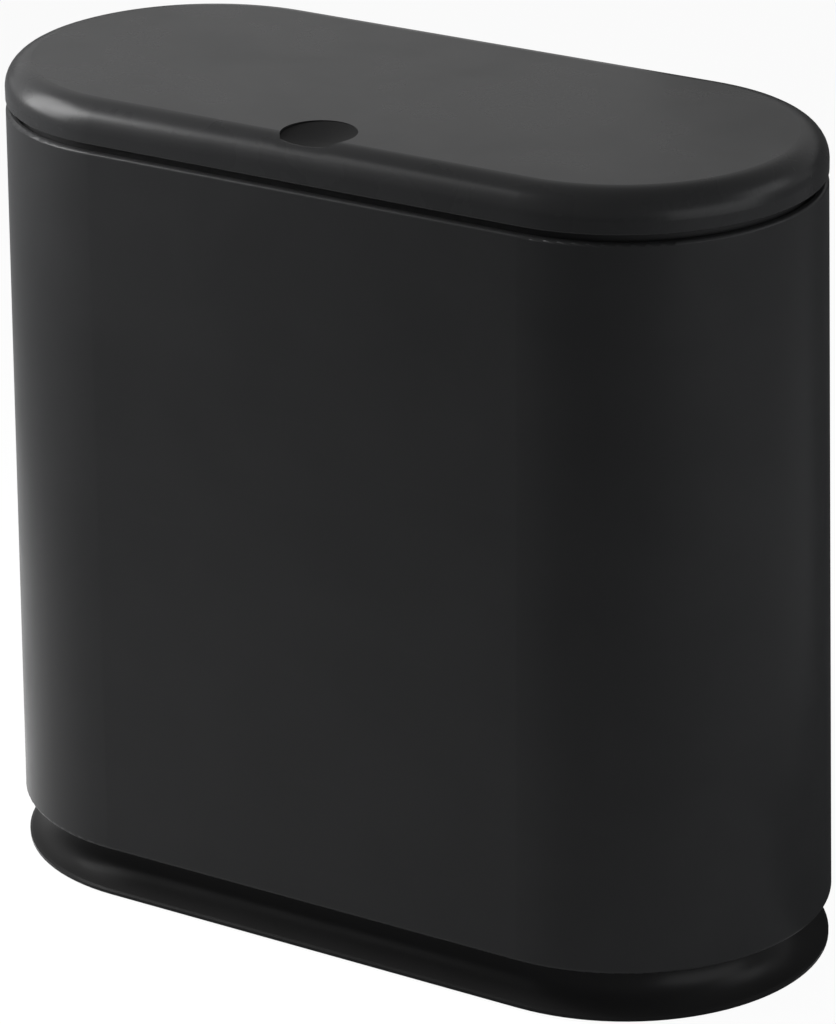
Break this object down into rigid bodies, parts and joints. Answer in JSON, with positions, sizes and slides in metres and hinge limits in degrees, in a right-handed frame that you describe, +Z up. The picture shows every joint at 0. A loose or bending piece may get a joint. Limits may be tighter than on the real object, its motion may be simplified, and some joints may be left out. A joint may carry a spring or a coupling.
{
  "type": "trash can",
  "caption": "Slim stadium-shaped waste bin with a press-to-open hinged lid, push latch, bag ring and flared foot.",
  "frame": {"origin": "on the floor, under the middle of the bin's plan", "axes": "+X along the wide side, to the right seen from the front; -Y towards the front, where the finger dish is; +Z up"},
  "size_m": [0.3378, 0.155, 0.3163],
  "materials": {
    "body_plastic": "charcoal-black satin polypropylene with a fine even grain",
    "lid_plastic": "charcoal-black satin ABS, a little smoother than the body",
    "plinth_plastic": "black satin polypropylene",
    "inner_plastic": "black matt polypropylene, plain moulded",
    "latch_plastic": "dark grey acetal, faintly waxy",
    "zinc_steel": "zinc-plated steel",
    "spring_steel": "bright spring steel",
    "foot_rubber": "soft black rubber"
  },
  "bodies": {
    "bin": {"outer_body": "body_plastic", "base_plinth": "plinth_plastic", "base_screws": "zinc_steel", "rubber_feet": "foot_rubber", "rim_frame": "inner_plastic", "bag_ring": "inner_plastic", "hinge_pin_left": "zinc_steel", "hinge_pin_right": "zinc_steel", "hinge_spring_left": "spring_steel", "hinge_spring_right": "spring_steel", "latch_housing": "latch_plastic", "latch_cover": "latch_plastic", "latch_screws": "zinc_steel", "latch_spring": "spring_steel", "latch_cam_wire": "spring_steel", "latch_clip": "spring_steel"},
    "lid": {"lid_shell": "lid_plastic", "lid_liner": "inner_plastic", "lid_screws": "zinc_steel", "lid_striker": "latch_plastic", "striker_screws": "zinc_steel"},
    "latch_carriage": {"latch_slider": "latch_plastic"}
  },
  "joints": [
    {"name": "lid_hinge", "type": "hinge", "parent": "bin", "child": "lid", "pos_m": [0, 0.072, 0.2998], "axis": [-1, 0, 0], "range_deg": [0, 85]},
    {"name": "latch_press", "type": "slide", "parent": "bin", "child": "latch_carriage", "axis": [0, 0, 1], "range_m": [-0.0024, 0], "stiffness_N_per_m": 400, "springref_m": 0.008, "deforming": ["latch_spring"]}
  ]
}
